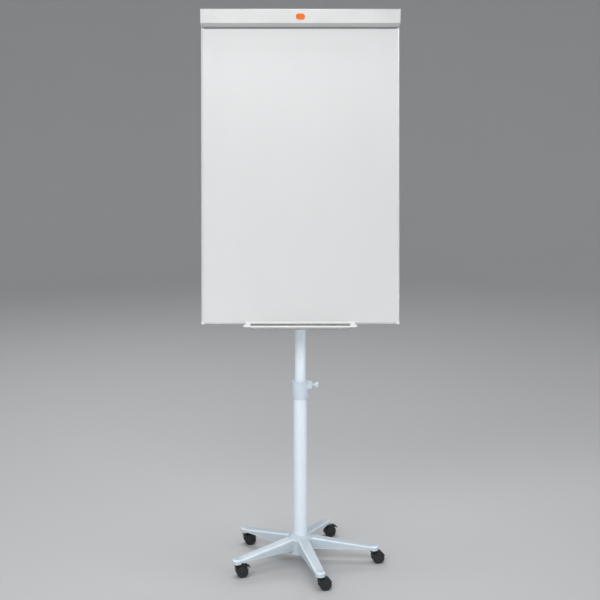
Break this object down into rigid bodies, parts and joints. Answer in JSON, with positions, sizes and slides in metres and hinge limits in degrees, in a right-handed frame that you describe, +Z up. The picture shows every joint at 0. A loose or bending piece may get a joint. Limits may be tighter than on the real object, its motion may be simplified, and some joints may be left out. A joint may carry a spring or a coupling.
{
  "type": "flipchart easel",
  "caption": "Mobile flipchart easel: tilted white board with a sprung pad clamp and a pen tray, on a telescoping mast and a five-armed base with twin-wheel casters.",
  "frame": {"origin": "foot of the mast axis on the floor", "axes": "+Z up along the mast, the board faces -Y, +X to the right of a reader of the board"},
  "size_m": [0.69, 0.5584, 2.0008],
  "materials": {
    "lacquered_sheet": "glossy white lacquer",
    "lacquered_bar": "satin white lacquer",
    "tube_lacquer": "satin pale grey powder coat",
    "base_lacquer": "fine textured pale grey powder coat",
    "anodised": "satin anodised",
    "plain_aluminium": "mill finish",
    "zinc_steel": "zinc plated",
    "white_plastic": "fine grained",
    "grey_plastic": "fine grained",
    "black_plastic": "satin",
    "wheel_plastic": "satin",
    "rubber": "matte",
    "board_core": "fibreboard",
    "badge_orange": "gloss"
  },
  "bodies": {
    "base": {"star_base": "base_lacquer", "mast_ring": "grey_plastic", "base_bolt": "zinc_steel", "tube_foot": "zinc_steel", "lower_tube": "tube_lacquer", "collar": "grey_plastic", "caster_stems": "zinc_steel"},
    "glide": {"guide_bush": "black_plastic"},
    "board": {"upper_tube": "tube_lacquer", "tube_cap": "black_plastic", "head_bracket": "base_lacquer", "stay_bracket": "base_lacquer", "tube_bolts": "zinc_steel", "bracket_bolts": "zinc_steel", "spine_channel": "base_lacquer", "back_sheet": "plain_aluminium", "panel_core": "board_core", "writing_surface": "lacquered_sheet", "left_rail": "anodised", "right_rail": "anodised", "top_rail": "anodised", "bottom_rail": "anodised", "corner_caps": "white_plastic", "hinge_brackets": "zinc_steel", "hook_rail": "anodised", "clamp_springs": "zinc_steel", "pen_tray": "white_plastic", "tray_screws": "zinc_steel"},
    "clamp": {"clamp_bar": "lacquered_bar", "clamp_end_caps": "white_plastic", "clamp_pins": "zinc_steel", "grip_strip": "rubber", "badge": "badge_orange"},
    "hook_left": {"pad_hook_left": "black_plastic"},
    "hook_right": {"pad_hook_right": "black_plastic"},
    "lock_pad": {"pressure_pad": "black_plastic"},
    "lock_screw": {"clamp_screw": "zinc_steel", "clamp_knob": "grey_plastic"},
    "caster_1": {"caster_1_housing": "black_plastic", "caster_1_axle": "zinc_steel"},
    "caster_1_near": {"caster_1_wheel_near": "wheel_plastic"},
    "caster_1_far": {"caster_1_wheel_far": "wheel_plastic"},
    "caster_2": {"caster_2_housing": "black_plastic", "caster_2_axle": "zinc_steel"},
    "caster_2_near": {"caster_2_wheel_near": "wheel_plastic"},
    "caster_2_far": {"caster_2_wheel_far": "wheel_plastic"},
    "caster_3": {"caster_3_housing": "black_plastic", "caster_3_axle": "zinc_steel"},
    "caster_3_near": {"caster_3_wheel_near": "wheel_plastic"},
    "caster_3_far": {"caster_3_wheel_far": "wheel_plastic"},
    "caster_4": {"caster_4_housing": "black_plastic", "caster_4_axle": "zinc_steel"},
    "caster_4_near": {"caster_4_wheel_near": "wheel_plastic"},
    "caster_4_far": {"caster_4_wheel_far": "wheel_plastic"},
    "caster_5": {"caster_5_housing": "black_plastic", "caster_5_axle": "zinc_steel"},
    "caster_5_near": {"caster_5_wheel_near": "wheel_plastic"},
    "caster_5_far": {"caster_5_wheel_far": "wheel_plastic"},
    "brake_2": {"caster_2_brake": "black_plastic"},
    "brake_4": {"caster_4_brake": "black_plastic"}
  },
  "joints": [
    {"name": "mast_height", "type": "slide", "parent": "base", "child": "glide", "axis": [0, 0, 1], "range_m": [-0.34, 0.03]},
    {"name": "mast_turn", "type": "hinge", "parent": "glide", "child": "board", "pos_m": [0, 0, 0.46], "axis": [0, 0, 1], "continuous": true},
    {"name": "clamp_open", "type": "hinge", "parent": "board", "child": "clamp", "pos_m": [0, 0.0535, 1.98817], "axis": [-1, 0, 0], "range_deg": [0, 50], "stiffness_Nm_per_rad": 0.5, "springref_deg": -20.05},
    {"name": "hook_left_slide", "type": "slide", "parent": "board", "child": "hook_left", "axis": [-1, 0, 0], "range_m": [-0.09, 0.12]},
    {"name": "hook_right_slide", "type": "slide", "parent": "board", "child": "hook_right", "axis": [1, 0, 0], "range_m": [-0.09, 0.12]},
    {"name": "lock_travel", "type": "slide", "parent": "base", "child": "lock_pad", "axis": [1, 0, 0], "range_m": [0, 0.00125]},
    {"name": "lock_turn", "type": "hinge", "parent": "lock_pad", "child": "lock_screw", "pos_m": [0.05, 0, 0.674], "axis": [1, 0, 0], "range_deg": [0, 360]},
    {"name": "caster_1_swivel", "type": "hinge", "parent": "base", "child": "caster_1", "pos_m": [0.26963, -0.01413, 0.04], "axis": [0, 0, 1], "continuous": true},
    {"name": "caster_1_roll_near", "type": "hinge", "parent": "caster_1", "child": "caster_1_near", "pos_m": [0.28557, -0.00986, 0.021], "axis": [-0.2588, 0.9659, 0], "continuous": true},
    {"name": "caster_1_roll_far", "type": "hinge", "parent": "caster_1", "child": "caster_1_far", "pos_m": [0.28557, -0.00986, 0.021], "axis": [-0.2588, 0.9659, 0], "continuous": true},
    {"name": "caster_2_swivel", "type": "hinge", "parent": "base", "child": "caster_2", "pos_m": [0.09676, 0.25207, 0.04], "axis": [0, 0, 1], "continuous": true},
    {"name": "caster_2_roll_near", "type": "hinge", "parent": "caster_2", "child": "caster_2_near", "pos_m": [0.1127, 0.25634, 0.021], "axis": [-0.2588, 0.9659, 0], "continuous": true},
    {"name": "caster_2_roll_far", "type": "hinge", "parent": "caster_2", "child": "caster_2_far", "pos_m": [0.1127, 0.25634, 0.021], "axis": [-0.2588, 0.9659, 0], "continuous": true},
    {"name": "caster_3_swivel", "type": "hinge", "parent": "base", "child": "caster_3", "pos_m": [-0.20983, 0.16992, 0.04], "axis": [0, 0, 1], "continuous": true},
    {"name": "caster_3_roll_near", "type": "hinge", "parent": "caster_3", "child": "caster_3_near", "pos_m": [-0.19389, 0.17419, 0.021], "axis": [-0.2588, 0.9659, 0], "continuous": true},
    {"name": "caster_3_roll_far", "type": "hinge", "parent": "caster_3", "child": "caster_3_far", "pos_m": [-0.19389, 0.17419, 0.021], "axis": [-0.2588, 0.9659, 0], "continuous": true},
    {"name": "caster_4_swivel", "type": "hinge", "parent": "base", "child": "caster_4", "pos_m": [-0.22644, -0.14705, 0.04], "axis": [0, 0, 1], "continuous": true},
    {"name": "caster_4_roll_near", "type": "hinge", "parent": "caster_4", "child": "caster_4_near", "pos_m": [-0.2105, -0.14278, 0.021], "axis": [-0.2588, 0.9659, 0], "continuous": true},
    {"name": "caster_4_roll_far", "type": "hinge", "parent": "caster_4", "child": "caster_4_far", "pos_m": [-0.2105, -0.14278, 0.021], "axis": [-0.2588, 0.9659, 0], "continuous": true},
    {"name": "caster_5_swivel", "type": "hinge", "parent": "base", "child": "caster_5", "pos_m": [0.06988, -0.2608, 0.04], "axis": [0, 0, 1], "continuous": true},
    {"name": "caster_5_roll_near", "type": "hinge", "parent": "caster_5", "child": "caster_5_near", "pos_m": [0.08582, -0.25653, 0.021], "axis": [-0.2588, 0.9659, 0], "continuous": true},
    {"name": "caster_5_roll_far", "type": "hinge", "parent": "caster_5", "child": "caster_5_far", "pos_m": [0.08582, -0.25653, 0.021], "axis": [-0.2588, 0.9659, 0], "continuous": true},
    {"name": "caster_2_brake_press", "type": "hinge", "parent": "caster_2", "child": "brake_2", "pos_m": [0.1296, 0.26087, 0.0418], "axis": [-0.2588, 0.9659, 0], "range_deg": [0, 15]},
    {"name": "caster_4_brake_press", "type": "hinge", "parent": "caster_4", "child": "brake_4", "pos_m": [-0.1936, -0.13825, 0.0418], "axis": [-0.2588, 0.9659, 0], "range_deg": [0, 15]}
  ],
  "couplings": [
    {"joint": "lock_turn", "follows": "lock_travel", "rad_per_m": 5026.5}
  ]
}
